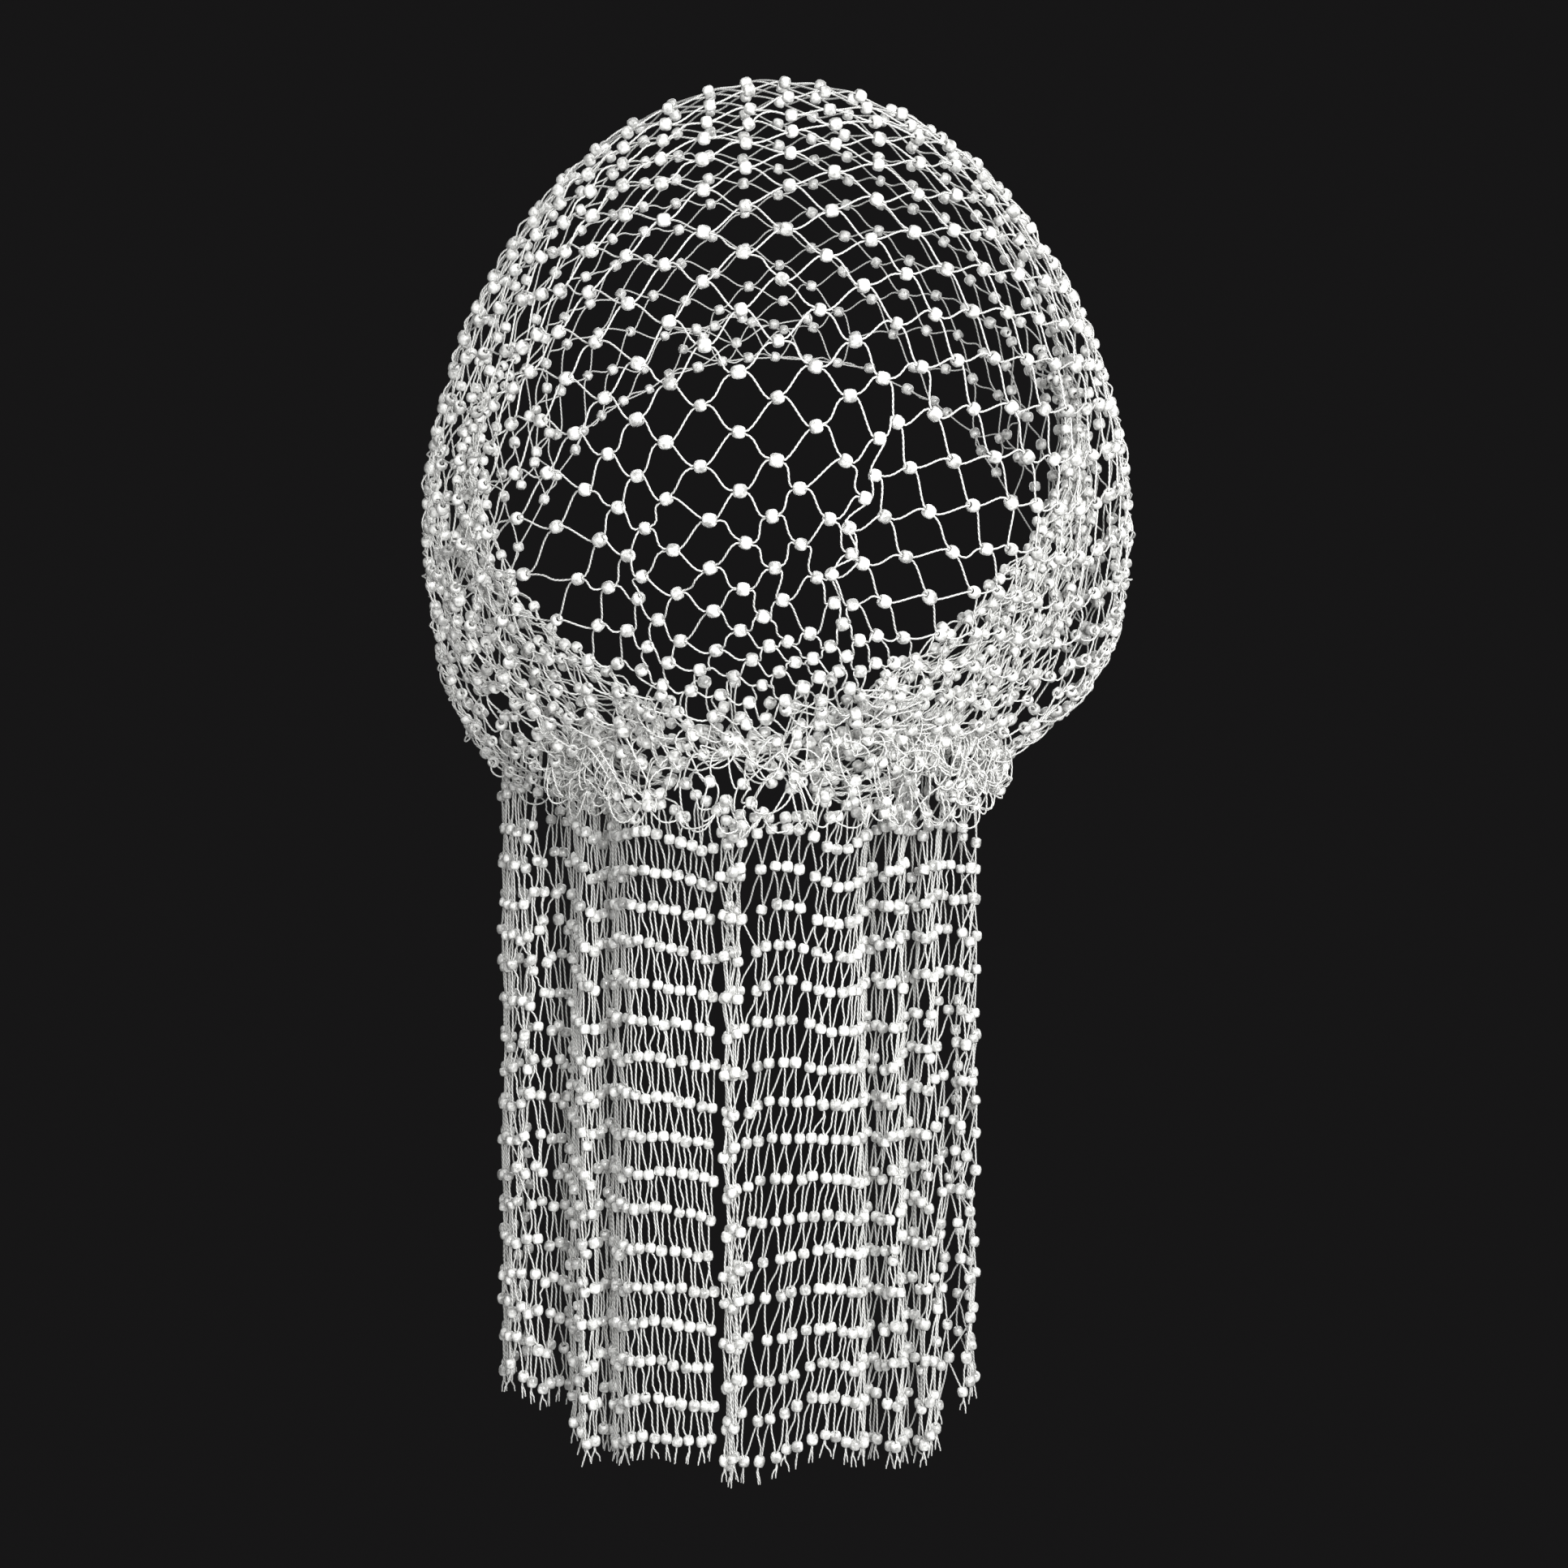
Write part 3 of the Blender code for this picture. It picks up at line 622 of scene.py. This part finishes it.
def add_object(name, data):
    thing = bpy.data.objects.new(name, data)
    bpy.context.scene.collection.objects.link(thing)
    return thing


def new_material(name):
    material = bpy.data.materials.new(name)
    material.use_nodes = True
    tree = material.node_tree
    return material, tree, tree.nodes["Principled BSDF"]


def set_inputs(made, values):
    """Sets a node's inputs, and links those whose value is a socket of another node."""
    for name, value in values.items():
        if isinstance(value, bpy.types.NodeSocket):
            made.id_data.links.new(value, made.inputs[name])
        else:
            made.inputs[name].default_value = value


def node(tree, kind, **values):
    """Adds a node. Each value is for a setting or an input of that name."""
    made = tree.nodes.new(kind)
    for key, value in values.items():
        if hasattr(made, key):
            setattr(made, key, value)
        else:
            set_inputs(made, {key: value})
    return made


def sum_of(tree, operation, *values):
    made = node(tree, "ShaderNodeMath", operation=operation)
    set_inputs(made, dict(enumerate(values)))
    return made.outputs["Value"]


def remap(tree, value, **ends):
    """Moves a value from one range to another, whose ends are given as from_min and so on."""
    made = node(tree, "ShaderNodeMapRange", Value=value)
    set_inputs(made, {name.replace("_", " ").title(): end for name, end in ends.items()})
    return made.outputs["Result"]


def ramp(tree, source, stops):
    """The colour of a ramp over a value. Each stop is a place and a colour."""
    made = tree.nodes.new("ShaderNodeValToRGB")
    while len(made.color_ramp.elements) < len(stops):
        made.color_ramp.elements.new(0.5)
    for element, (place, colour) in zip(made.color_ramp.elements, stops):
        element.position = place
        element.color = (*colour, 1.0)
    tree.links.new(source, made.inputs["Fac"])
    return made.outputs["Color"]


def bead_material():
    """Pearly white glass with bright flecks, and painted shade darkening the wall inside the hole. V runs
    round a bead's outline.
    """
    material, tree, shader = new_material("seed_beads")
    place = node(tree, "ShaderNodeTexCoord").outputs
    tone = node(tree, "ShaderNodeTexNoise", Vector=place["Object"], Scale=420.0, Detail=3.0, Roughness=0.65)
    tones = [(0.36, (0.33, 0.33, 0.32)), (0.48, (0.6, 0.6, 0.585)), (0.6, (0.88, 0.88, 0.86))]
    colour = ramp(tree, tone.outputs["Fac"], tones)
    outline = node(tree, "ShaderNodeSeparateXYZ", Vector=place["UV"]).outputs["Y"]
    # painted shade: the last band of the outline, the wall inside the hole, is darkened to 0.1 as if in shade
    hole = ramp(tree, outline, [(0.86, (1.0, 1.0, 1.0)), (0.9, (0.1, 0.1, 0.1))])
    shade = node(tree, "ShaderNodeMix", data_type="RGBA", blend_type="MULTIPLY", Factor=1.0, A=colour, B=hole)
    fine = node(tree, "ShaderNodeTexVoronoi", Vector=place["Object"], Scale=1300.0).outputs["Distance"]
    rough = remap(tree, fine, to_min=0.06, to_max=0.36)
    bump = node(tree, "ShaderNodeBump", Strength=0.45, Distance=0.0002, Height=fine)
    skin = {"Base Color": shade.outputs["Result"], "Roughness": rough, "Normal": bump.outputs["Normal"]}
    glass = {"IOR": 1.52, "Transmission Weight": 0.1, "Coat Weight": 0.7, "Coat Roughness": 0.05}
    pearl = {"Subsurface Weight": 0.2, "Subsurface Radius": (1.0, 1.0, 1.0), "Subsurface Scale": 0.001}
    set_inputs(shader, {**skin, **glass, **pearl})
    return material


def thread_material():
    """White thread of two plies wound round each other: bright plies, with painted shade darkening the
    grooves between them.
    """
    material, tree, shader = new_material("net_thread")
    place = node(tree, "ShaderNodeTexCoord").outputs
    parts = node(tree, "ShaderNodeSeparateXYZ", Vector=place["UV"]).outputs
    turns = sum_of(tree, "MULTIPLY", sum_of(tree, "ADD", parts["X"], parts["Y"]), 4 * np.pi)
    ply = remap(tree, sum_of(tree, "SINE", turns), from_min=-1.0)
    # painted shade: the grooves between the plies are darkened from 0.72 down to 0.26
    tones = [(0.0, (0.26, 0.26, 0.25)), (0.3, (0.54, 0.54, 0.525)), (1.0, (0.72, 0.72, 0.7))]
    colour = ramp(tree, ply, tones)
    fibre = node(tree, "ShaderNodeTexNoise", Vector=place["Object"], Scale=5200.0, Detail=2.0).outputs["Fac"]
    height = sum_of(tree, "MULTIPLY_ADD", fibre, 0.3, ply)
    bump = node(tree, "ShaderNodeBump", Strength=0.8, Distance=0.00012, Height=height)
    rough = remap(tree, fibre, to_min=0.34, to_max=0.6)
    set_inputs(shader, {"Base Color": colour, "Roughness": rough, "Normal": bump.outputs["Normal"]})
    set_inputs(shader, {"Sheen Weight": 0.3, "Sheen Roughness": 0.4})
    return material


def build_crown(materials):
    """The crown's open net, as a left and a right piece."""
    columns, rows, points, on_edge = crown_beads()
    pairs = tied(columns, rows)
    facing = crown_facing(points)
    axes = bead_axes(points, pairs, facing, np.array([1.0, 0.0, 0.0]))
    across = np.cross(facing, axes)
    lean = 0.22 * noise((2, len(points), 1))
    axes = unit(axes + across * lean[0] + facing * 0.7 * lean[1])
    # the pockets at the lower sides hang in loose loops
    middle = 0.5 * (points[pairs[:, 0]] + points[pairs[:, 1]])
    loose = rise(-middle[:, 2], 112, 18) * rise(np.abs(middle[:, 0]), 48, 14)
    curl, relax = 0.45 + 0.05 * loose, 0.3 + 0.4 * loose
    curves, out = net_threads(points, pairs, axes, facing, THREAD_FREE + loose, curl=curl, relax=relax)
    front = in_order(points, on_edge)
    edge, edge_out = edge_threads(points, front, facing, 0.002, across)
    # threads from the lowest beads are drawn in under the net
    open_ended = np.bincount(pairs.ravel(), minlength=len(points)) < 4
    low = np.flatnonzero((points[:, 2] < -158) & (np.abs(points[:, 0]) > 30) & open_ended)
    n, start = len(low), points[low]
    shift = np.stack([3 * noise(n), np.full(n, -3.0), -168 - start[:, 2] - 5 * rng.random(n)], -1)
    way_in = unit(-facing[low] + 0.4 * noise((n, 3)))
    length = 9 + 5 * rng.random(n)
    target = start * [0.86, 0.9, 1.0] + shift
    drawn_in = thread_curves(start, unit(facing[low] + DOWN), target, way_in, length, 8, stiff=1.6)
    made = []
    for name, side in (("crown_net_left", -1), ("crown_net_right", 1)):
        pieces = Pieces()
        mine = (points[:, 0] * side > 0) | ((points[:, 0] == 0) & (side > 0))
        pieces.beads(points[mine], axes[mine], facing[mine])
        mine_too = mine[pairs[:, 0]]
        pieces.threads(curves[mine_too], out[mine_too])
        run = np.linalg.norm(np.diff(points[front], axis=0), axis=1)
        mine_edge = mine[front[:-1]] & (run < LONGEST_EDGE)
        pieces.threads(edge[mine_edge], edge_out[mine_edge])
        pieces.threads(drawn_in[mine[low]], facing[low][mine[low]])
        made.append((pieces.join(name, materials), int(mine_too.sum())))
    return made


def bundle_frame(side, at):
    """Middle, way, width way and outward way of a gather at places along its table."""
    last = len(GATHER) - 1

    def middle(where):
        row = smooth_rows(GATHER, where)
        drift = KNOT_AT[0] * (where / last) ** 1.5
        out = row[..., 0] + np.interp(where, np.arange(last + 1), GATHER_OUT[side])
        return np.stack([side * out + drift, -row[..., 1], row[..., 2]], -1), row

    here, row = middle(at)
    after, _ = middle(np.minimum(at + 0.05, last))
    before, _ = middle(np.maximum(at - 0.05, 0))
    way = unit(after - before)
    heart = np.zeros_like(here)
    heart[..., 2] = here[..., 2] + GATHER_HEART * (1 - at / last)
    out = unit(here - heart) + GATHER_TURN * np.sin(np.pi * at / last)[..., None] * BACK
    out = unit(out - way * (out * way).sum(-1, keepdims=True))
    return here, way, np.cross(way, out), out, row


def build_gather(name, side, materials):
    """The bundle of drawn-up net on one side: strands in a few folds, crossing a little."""
    last = len(GATHER) - 1
    fine = np.linspace(0, last, 400)
    line = bundle_frame(side, fine)[0]
    run = np.concatenate([[0], np.cumsum(np.linalg.norm(np.diff(line, axis=0), axis=1))])
    rows_along = int(run[-1] / ROW_PITCH)
    strands = GATHER_STRANDS[side]
    order = rng.permutation(strands) * 0.35 + np.arange(strands) * 0.65
    joins = np.argsort(np.argsort(order)) / strands * GATHER_FEED * run[-1]
    phase = rng.random((strands, 4)) * 2 * np.pi
    columns, rows = lattice(np.arange(rows_along + 1), np.arange(strands))
    shift = 4.0 * np.sin(phase[rows // 2, 0]) + 1.1 * noise(len(rows))
    s = np.clip(columns * ROW_PITCH + shift, 0, run[-1])
    keep = s >= joins[rows] - 1e-6
    columns, rows, s = columns[keep], rows[keep], s[keep]
    at = np.interp(s, run, fine)
    here, way, across, out, size = bundle_frame(side, at)
    fold = rows / strands * GATHER_FOLDS
    swing = np.abs((fold % 2) - 1) * 2 - 1
    swing = swing + 0.13 * np.sin(phase[rows // 2, 1] + columns * 0.4) + 0.04 * noise(len(rows))
    deep = (fold / GATHER_FOLDS * 2 - 1) * 0.8 + 0.2 * np.sin(phase[rows // 2, 2] + columns * 0.5)
    swing, deep = np.clip(swing, -1.08, 1.08), np.clip(deep, -1, 1)
    width, thick = np.interp(at, np.arange(last + 1), GATHER_WIDTH[side]), size[:, 3]
    points = here + across * (swing * 0.5 * width)[:, None] + out * (deep * 0.5 * thick)[:, None]
    points = part_beads(points, 3.0)
    pairs = tied(columns, rows)
    axes = unit(way + 0.16 * noise(way.shape))
    pieces = Pieces()
    seen = rng.random(len(points)) < GATHER_BEADS
    pieces.beads(points[seen], axes[seen], out[seen], 0.93 + 0.03 * noise(seen.sum()))
    pieces.threads(*net_threads(points, pairs, axes, out, GATHER_FREE, parts=5))
    return pieces.join(name, materials), len(pairs)


def tail_place(pleats, at, fall):
    """x and y of a place on the tail, and the heights of the pleat's foot and top there."""
    row = smooth_rows(pleats, at)
    freed = np.clip(fall / TAIL_FALLS_FREE, 0, 1)
    freed = freed * freed * (3 - 2 * freed)
    y = row[..., 3] + (row[..., 1] - row[..., 3]) * freed
    return row[..., 0], y, row[..., 2], row[..., 4]


def build_tail(name, pleats, side, materials):
    """A hanging end: rows of beads that go round the pleats, on straight threads, with cut ends."""
    most = TAIL_STRANDS + int(TAIL_ASKEW[side] * TAIL_ROWS)
    columns, rows = lattice(np.arange(-2, TAIL_ROWS), np.arange(most))
    hangs = rows - TAIL_ASKEW[side] * (columns + 1)
    keep = (hangs > -0.5) & (hangs < TAIL_STRANDS - 0.5)
    panel = LEFT_PANEL if side < 0 else RIGHT_PANEL
    keep &= (columns > -2) | (hangs > panel[1] + 6)
    columns, rows, hangs = columns[keep], rows[keep], hangs[keep]
    loose = np.where((hangs >= panel[0]) & (hangs < panel[1]), 0.3, 1.0)
    wander = rng.random((TAIL_STRANDS, 3)) * 2 * np.pi
    sway = 0.6 * np.sin(wander[(hangs / 2).astype(int), 0] + columns * 0.5) + 0.4 * noise(len(rows))
    strand = np.clip(hangs + loose * sway, 0, TAIL_STRANDS - 1)
    at = np.interp(strand, [pleat.strand for pleat in pleats], np.arange(len(pleats)))
    x, _, foot, top = tail_place(pleats, at, np.zeros(len(at)))
    # the first row hangs lower toward the middle on the left, and in the panel on the right
    slope = 4.0 * rise(x, -38, 24) if side < 0 else 3.4 * np.exp(-(((x - 14) / 8.5) ** 2))
    first = FIRST_ROW - slope + 1.2 * np.sin(x * 0.21 + 1.0)
    last = foot + CUT_END + 1.5
    wave = loose * (1.1 * np.sin(x * 0.33 + columns * 0.3) + 0.8 * noise(len(x)))
    wave = wave + 0.5 * np.sin(columns * 1.7 + x * 0.08) + 0.12 * noise(len(x))
    z = first + (last - first) * columns / (TAIL_ROWS - 1) + wave
    # the rows over the first one go up into the knot and the gathers
    over = 3.0 + 9.0 * rise(np.abs(x + 4), 32, 8)
    z = np.where(columns < 0, top - 1.0 + over * (-columns - 1) + 1.5 * noise(len(x)), z)
    z = np.maximum(z, foot + CUT_END)
    x, y, _, _ = tail_place(pleats, at, np.clip((z - top) / (foot - top), 0, 1))
    along = along_rows(pleats, at, 0.01)
    facing = unit(np.stack([along[:, 1], -along[:, 0], np.zeros(len(x))], -1))
    facing = facing * np.where(facing[:, 1:2] > 0, -1, 1)
    points = np.stack([x, y, z], -1) + facing * (0.3 * loose * noise(len(x)))[:, None]
    points = part_beads(points, 2.75)
    pairs = tied(columns, rows)
    axes = unit(DOWN + 0.15 * noise(points.shape))
    pieces = Pieces()
    pieces.beads(points, axes, facing, 0.97 + 0.03 * noise(len(points)))
    pieces.threads(*hanging_threads(points, pairs, axes, facing, TAIL_FAN[side]))
    lowest = columns == TAIL_ROWS - 1
    ends, way = points[lowest], axes[lowest]
    n = len(ends)
    hang, down = -CUT_END - BEAD_HALF * 0.6, np.tile(DOWN, (n, 1))
    for lean in (-0.5, 0.5):
        tip = np.stack([lean + 0.5 * noise(n), 0.4 * noise(n), hang + 0.5 * noise(n)], -1)
        tip[:, 2] = np.maximum(tip[:, 2], -CUT_END - 1.0)
        curves = thread_curves(ends + way * 1.1, way, ends + tip, down, np.full(n, CUT_END), 4)
        pieces.threads(curves, facing[lowest], taper=np.array([1, 1, 1, 0.95, 0.7]))
    return pieces.join(name, materials), len(pairs)


def build_nape(name, materials):
    """The drawn-in lower edge: a few rows of slack meshes whose threads stand out in loops."""
    columns, rows = lattice(np.arange(NAPE_COLUMNS + 1), np.arange(NAPE_ROWS))
    at = (columns + 0.45 * noise(len(columns))) / NAPE_COLUMNS * (len(NAPE_EDGE) - 1)
    at = np.clip(at, 0, len(NAPE_EDGE) - 1)
    size = smooth_rows(NAPE_EDGE, at)
    share = np.clip((rows + 0.5 * noise(len(rows))) / (NAPE_ROWS - 1), -0.1, 1.06)
    x, y = size[:, 0], size[:, 1] + NAPE_TUCK * share**2 + 1.2 * noise(len(rows))
    z = size[:, 2] + (size[:, 3] - size[:, 2]) * share
    points = np.stack([x, y, z], -1)
    step = along_rows(NAPE_EDGE, at, 0.02)
    along = unit(np.stack([step[:, 0], step[:, 1], np.zeros(len(at))], -1))
    facing = unit(np.stack([along[:, 1], -along[:, 0], -0.15 - 0.5 * share], -1))
    axes = unit(along + 0.35 * noise(along.shape))
    points = part_beads(points, 3.0)
    pairs = tied(columns, rows)
    pieces = Pieces()
    pieces.beads(points, axes, facing)
    pieces.threads(*net_threads(points, pairs, axes, facing, NAPE_FREE, 9, curl=0.85, flat=1.3, relax=0.95))
    low = np.flatnonzero(rows == NAPE_ROWS - 1)
    low = low[np.argsort(points[low, 0])]
    sag = unit(facing + 2 * DOWN + 0.5 * noise(facing.shape))
    pieces.threads(*edge_threads(points, low, facing, 0.5, sag))
    # slack drawn out of the net stands over it in wide loops
    loops = np.random.default_rng(5)
    gap = np.linalg.norm(points[:, None] - points[None], axis=-1)
    near = (gap > LOOP_SPAN[0]) & (gap < LOOP_SPAN[1])
    a, b = np.nonzero(near & (points[:, None, 0] < points[None, :, 0]))
    picked = loops.permutation(len(a))[:NAPE_LOOPS]
    a, b = a[picked], b[picked]
    lie = loops.choice([-1.0, 1.0], (NAPE_LOOPS, 1))
    away = facing[a] * 0.55 - lie * DOWN + 0.3 * loops.standard_normal((NAPE_LOOPS, 3))
    start, end = points[a] + facing[a] * 1.2, points[b] + facing[b] * 1.2
    length = gap[a, b] * loops.uniform(*LOOP_SLACK, NAPE_LOOPS)
    leave, arrive = unit(away + 0.3 * axes[a]), unit(-away + 0.3 * axes[b])
    pieces.threads(thread_curves(start, leave, end, arrive, length, 12, stiff=2.4), facing[a])
    return pieces.join(name, materials), len(pairs)


def build_knot(name, materials):
    """The knot: strands leave a tight place, most of them up and to the left, by a clump of beads."""
    pieces = Pieces()
    eye = KNOT_AT + np.array([-5.0, -KNOT_RADII[1] * 0.9, 0.6])
    n = KNOT_STRANDS
    turn = np.radians(120) + np.radians(85) * np.clip(noise(n) * 0.8, -2.1, 2.1)
    reach = KNOT_RADII[0] * (0.35 + 0.6 * rng.random(n))
    ways = np.stack([np.cos(turn), np.zeros(n), np.sin(turn) * 0.8], -1)
    start = eye + ways * 0.5 - 1.6 * BACK * rng.random((n, 1))
    end = eye + ways * reach[:, None] - BACK * (1.0 + 3.5 * rng.random(n))[:, None]
    out = np.tile(BACK, (n, 1))
    swirl = np.cross(ways, -BACK) * rng.choice([-1.0, 1.0], (n, 1))
    start_way = unit(ways + out * 0.5 + 0.35 * swirl)
    end_way = unit(ways - 0.7 * BACK - 0.9 * swirl)
    pieces.threads(thread_curves(start, start_way, end, end_way, reach * 1.12, 8), out)
    spots = rng.permutation(n)[:KNOT_STAR_BEADS]
    pieces.beads(end[spots] + end_way[spots], end_way[spots], out[spots])
    # beads drawn together in the knot and on its right
    m = KNOT_CLUMP
    across, out = -5.5 + 19.0 * rng.random(m), -KNOT_RADII[1] * (0.72 + 0.16 * rng.random(m))
    clump = part_beads(KNOT_AT + np.stack([across, out, -5.5 + 11 * rng.random(m)], -1), 2.8)
    facing = np.tile(BACK, (m, 1))
    pieces.beads(clump, unit(noise((m, 3))), facing)
    order = rng.permutation(m)
    ways = unit(noise((m, 3)) * [1.0, 0.3, 1.0])
    pieces.threads(thread_curves(clump, ways, clump[order], -ways[::-1], np.full(m, 9.5), 8), facing)
    return pieces.join(name, materials)


def light(name, place, aim_z, size, power):
    """A square light, in metres and watts, turned to a height on the Z axis."""
    data = bpy.data.lights.new(name, "AREA")
    data.shape = "RECTANGLE"
    data.size = data.size_y = size
    data.energy = power
    thing = add_object(name, data)
    thing.location = place
    thing.rotation_euler = (Vector((0, 0, aim_z)) - Vector(place)).to_track_quat("-Z", "Y").to_euler()


def build_stage():
    """A pale floor, soft lights and the photograph's camera."""
    mesh = bpy.data.meshes.new("floor")
    half_width, height = 1.0, -1.1
    corners = [(x * half_width, y * half_width, height) for x, y in ((-1, -1), (1, -1), (1, 1), (-1, 1))]
    mesh.from_pydata(corners, [], [(0, 1, 2, 3)])
    floor = add_object("floor", mesh)
    material, tree, shader = new_material("floor_paper")
    place = node(tree, "ShaderNodeTexCoord").outputs
    grain = node(tree, "ShaderNodeTexNoise", Vector=place["Object"], Scale=120.0, Detail=4.0)
    colour = ramp(tree, grain.outputs["Fac"], [(0.3, (0.5, 0.5, 0.5)), (0.7, (0.56, 0.56, 0.55))])
    set_inputs(shader, {"Base Color": colour, "Roughness": 0.8})
    mesh.materials.append(material)

    world = bpy.data.worlds.new("studio")
    world.use_nodes = True
    backdrop = {"Color": (0.0085, 0.0082, 0.0085, 1.0), "Strength": 1.0}
    set_inputs(world.node_tree.nodes["Background"], backdrop)
    bpy.context.scene.world = world

    light("key", (0.32, -0.52, 0.0), -0.15, size=0.3, power=5.1)
    light("front", (0.1, -0.58, -0.13), -0.17, size=0.22, power=2.5)
    light("fill", (-0.38, -0.5, -0.2), -0.18, size=0.4, power=1.4)
    light("top", (0.0, -0.4, 0.45), -0.1, size=0.5, power=1.1)
    light("behind", (0.1, 0.95, 0.3), -0.15, size=0.9, power=4.0)

    data = bpy.data.cameras.new("camera")
    data.lens = data.sensor_width * FOCAL_PX / PICTURE
    data.clip_start, data.clip_end = 0.01, 20.0
    camera = add_object("camera", data)
    camera.location = CAMERA_AT * MM
    camera.rotation_euler = (np.pi / 2, 0.0, 0.0)
    bpy.context.scene.camera = camera
    bpy.context.scene.view_settings.view_transform = "Standard"


def place_on(thing, node_name):
    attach(thing, "root")
    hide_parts(node_name)


def declare(thing, node_name):
    """Places a piece."""
    place_on(thing, node_name)


def build():
    materials = [bead_material(), thread_material()]
    build_stage()
    for thing, threads in build_crown(materials):
        declare(thing, "crown_net")
    for node_name, side in (("left_gather", -1), ("right_gather", 1)):
        thing, threads = build_gather(node_name + "_net", side, materials)
        declare(thing, node_name)
    thing, threads = build_nape("nape_net", materials)
    declare(thing, "nape_knot")
    place_on(build_knot("nape_knot_strands", materials), "nape_knot")
    for node_name, pleats, side in (("left_tail", LEFT_TAIL, -1), ("right_tail", RIGHT_TAIL, 1)):
        thing, threads = build_tail(node_name + "_net", pleats, side, materials)
        declare(thing, node_name)


build()
